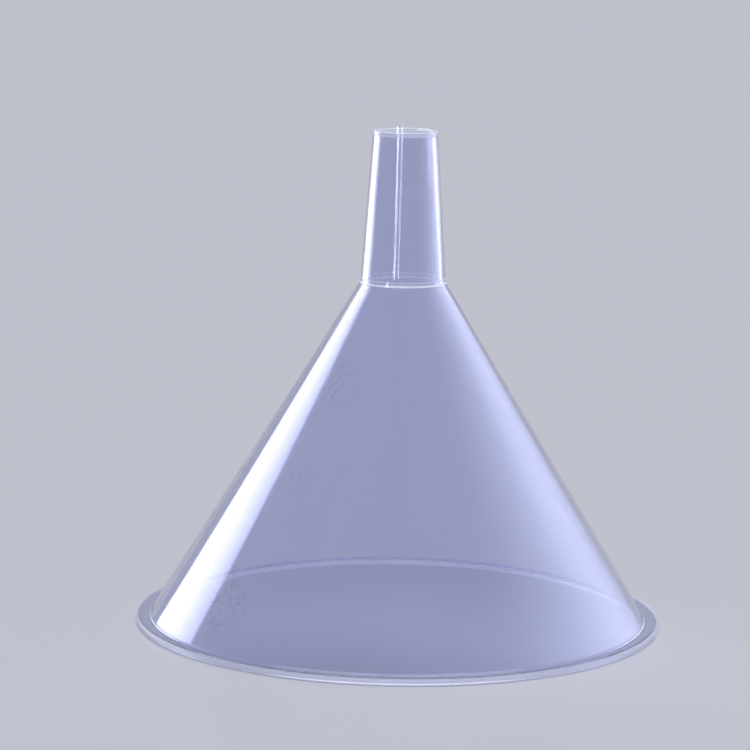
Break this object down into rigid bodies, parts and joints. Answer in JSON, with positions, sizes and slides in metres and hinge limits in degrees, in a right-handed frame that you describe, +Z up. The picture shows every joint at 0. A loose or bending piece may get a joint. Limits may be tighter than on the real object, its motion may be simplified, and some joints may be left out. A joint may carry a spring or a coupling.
{
  "type": "canning funnel",
  "caption": "Clear plastic filling funnel for bottles and jars: wide cone with a flat flange round its mouth and a long tapered spout with a vent rib.",
  "frame": {"origin": "centre of the mouth, on the flat underside of the flange, where the funnel rests on the table", "axes": "+Z up along the funnel's axis from the mouth to the spout's tip, +Y away from the picture's camera, +X to the picture's right"},
  "size_m": [0.12, 0.12, 0.1132],
  "materials": {
    "clear_plastic": "clear polypropylene, glossy as moulded, with a faint cool violet haze and fine handling scratches",
    "trimmed_plastic": "the same clear plastic, whitened and slightly rough where the moulding gate was trimmed off the tip"
  },
  "bodies": {
    "root": {"mouth_flange": "clear_plastic", "cone_shell": "clear_plastic", "neck_ring": "clear_plastic", "spout_tube": "clear_plastic", "tip_lip": "trimmed_plastic", "vent_rib": "clear_plastic"}
  },
  "joints": []
}
